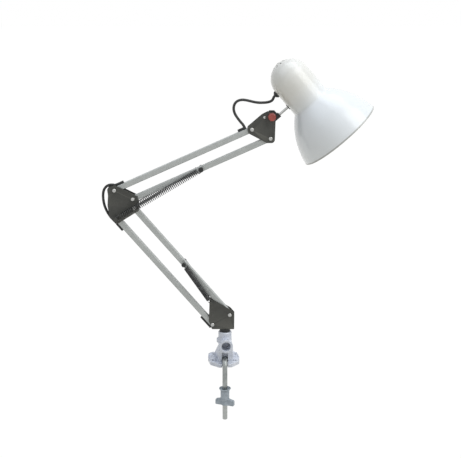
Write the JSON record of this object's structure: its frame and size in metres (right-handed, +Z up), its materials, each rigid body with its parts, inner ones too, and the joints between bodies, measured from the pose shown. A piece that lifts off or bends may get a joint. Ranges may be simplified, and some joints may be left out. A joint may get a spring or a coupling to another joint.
{
  "type": "desk lamp",
  "caption": "Swing-arm desk lamp: spun metal shade on two spring-balanced parallelogram arms, turning on a bench clamp.",
  "frame": {"origin": "on the post's axis, at the underside of the clamp's flange where it sits on the desk", "axes": "+Z up along the post, +X the way the lamp reaches at rest, -Y the front, where the knob and the clamp's rod are"},
  "size_m": [0.5274, 0.1698, 0.7254],
  "materials": {
    "cast_zinc": "sandblasted casting",
    "black_plastic": "moulded",
    "plated_steel": "zinc plated",
    "dark_steel": "dark powder coat",
    "arm_grey": "satin grey",
    "spring_steel": "blackened wire",
    "red_plastic": "moulded",
    "shade_white": "gloss white",
    "black_flex": "sheath",
    "dark_trim": "moulded",
    "white_standoff": "moulded",
    "bulb_metal": "rolled",
    "bulb_glass": "frosted"
  },
  "bodies": {
    "base": {"base_casting": "cast_zinc", "post_bush": "black_plastic", "post_lock_screw": "plated_steel", "hook_rod": "plated_steel"},
    "clamp_pad": {"clamp_pad": "cast_zinc"},
    "wing_nut": {"wing_nut": "cast_zinc"},
    "lower_bracket": {"post": "plated_steel", "post_collar": "black_plastic", "lower_bracket": "dark_steel", "lower_bolts": "plated_steel", "lower_nuts": "plated_steel", "lower_anchor_studs": "dark_steel"},
    "lower_left_arm": {"lower_left_tube": "arm_grey", "lower_left_bushes": "dark_trim", "lower_cable_clips": "black_plastic", "flex_lower": "black_flex", "flex_lower_loop": "black_flex"},
    "lower_right_arm": {"lower_right_tube": "arm_grey", "lower_right_bushes": "dark_trim", "lower_spring_pin": "dark_trim", "lower_spring_front": "spring_steel", "lower_spring_back": "spring_steel"},
    "elbow": {"elbow_plate_front": "dark_steel", "elbow_plate_back": "dark_steel", "elbow_bolts": "plated_steel", "elbow_nuts": "plated_steel", "spring_anchor_bolt": "dark_steel", "anchor_spacers": "dark_steel"},
    "upper_top_arm": {"upper_top_tube": "arm_grey", "upper_top_bushes": "dark_trim", "upper_cable_clips": "black_plastic", "flex_upper": "black_flex", "flex_bracket_loop": "black_flex", "flex_elbow_loop": "black_flex"},
    "upper_bottom_arm": {"upper_bottom_tube": "arm_grey", "upper_bottom_bushes": "dark_trim", "upper_spring_pin": "dark_trim", "upper_spring_front": "spring_steel", "upper_spring_back": "spring_steel"},
    "head_bracket": {"head_plate_front": "dark_steel", "head_plate_back": "dark_steel", "head_bolts": "plated_steel", "head_nuts": "plated_steel", "clamp_bolt": "plated_steel", "friction_washers": "dark_trim"},
    "knob": {"knob": "red_plastic"},
    "knuckle": {"knuckle": "dark_trim", "stem": "plated_steel", "stem_washer": "dark_trim", "stem_nut": "plated_steel"},
    "head": {"shade": "shade_white", "cable_gland": "black_plastic", "apex_screw": "plated_steel", "holder_standoff": "white_standoff", "lampholder": "black_plastic", "bulb_cap": "bulb_metal", "bulb_glass": "bulb_glass", "flex_head": "black_flex", "flex_head_loop": "black_flex", "flex_knuckle_loop": "black_flex"}
  },
  "joints": [
    {"name": "clamp_slide", "type": "slide", "parent": "base", "child": "clamp_pad", "axis": [0, 0, 1], "range_m": [-0.022, 0.034]},
    {"name": "wing_nut_turn", "type": "hinge", "parent": "clamp_pad", "child": "wing_nut", "pos_m": [0, -0.033, -0.06], "axis": [0, 0, 1], "range_deg": [-6300, 9700]},
    {"name": "lamp_turn", "type": "hinge", "parent": "base", "child": "lower_bracket", "pos_m": [0, 0, 0.06], "axis": [0, 0, 1], "continuous": true},
    {"name": "lower_arm_tilt", "type": "hinge", "parent": "lower_bracket", "child": "lower_left_arm", "pos_m": [-0.025, 0, 0.0845], "axis": [0, 1, 0], "range_deg": [-35, 50]},
    {"name": "lower_arm_parallel", "type": "hinge", "parent": "lower_bracket", "child": "lower_right_arm", "pos_m": [0.0099, 0, 0.10506], "axis": [0, 1, 0], "range_deg": [-35, 50], "deforming": ["lower_spring_front", "lower_spring_back"]},
    {"name": "elbow_level", "type": "hinge", "parent": "lower_left_arm", "child": "elbow", "pos_m": [-0.21399, 0, 0.30578], "axis": [0, 1, 0], "range_deg": [-50, 35], "deforming": ["flex_lower_loop"]},
    {"name": "upper_arm_tilt", "type": "hinge", "parent": "elbow", "child": "upper_top_arm", "pos_m": [-0.21649, 0, 0.36148], "axis": [0, 1, 0], "range_deg": [-50, 28], "deforming": ["flex_elbow_loop"]},
    {"name": "upper_arm_parallel", "type": "hinge", "parent": "elbow", "child": "upper_bottom_arm", "pos_m": [-0.18054, 0, 0.34394], "axis": [0, 1, 0], "range_deg": [-50, 28], "deforming": ["upper_spring_front", "upper_spring_back"]},
    {"name": "head_level", "type": "hinge", "parent": "upper_top_arm", "child": "head_bracket", "pos_m": [0.05301, 0, 0.48147], "axis": [0, 1, 0], "range_deg": [-28, 50], "deforming": ["flex_bracket_loop"]},
    {"name": "knob_turn", "type": "hinge", "parent": "head_bracket", "child": "knob", "pos_m": [0.09101, -0.015, 0.50647], "axis": [0, 1, 0], "continuous": true},
    {"name": "head_tilt", "type": "hinge", "parent": "head_bracket", "child": "knuckle", "pos_m": [0.09101, 0, 0.50647], "axis": [0, 1, 0], "range_deg": [-60, 35], "deforming": ["flex_knuckle_loop"]},
    {"name": "shade_swivel", "type": "hinge", "parent": "knuckle", "child": "head", "pos_m": [0.11834, 0, 0.52083], "axis": [0.7501, 0, 0.6613], "range_deg": [-45, 45], "deforming": ["flex_head_loop"]}
  ],
  "couplings": [
    {"joint": "clamp_slide", "follows": "wing_nut_turn", "m_per_rad": 0.00019894},
    {"joint": "lower_arm_parallel", "follows": "lower_arm_tilt", "ratio": 1},
    {"joint": "elbow_level", "follows": "lower_arm_tilt", "ratio": -1},
    {"joint": "upper_arm_parallel", "follows": "upper_arm_tilt", "ratio": 1},
    {"joint": "head_level", "follows": "upper_arm_tilt", "ratio": -1}
  ]
}
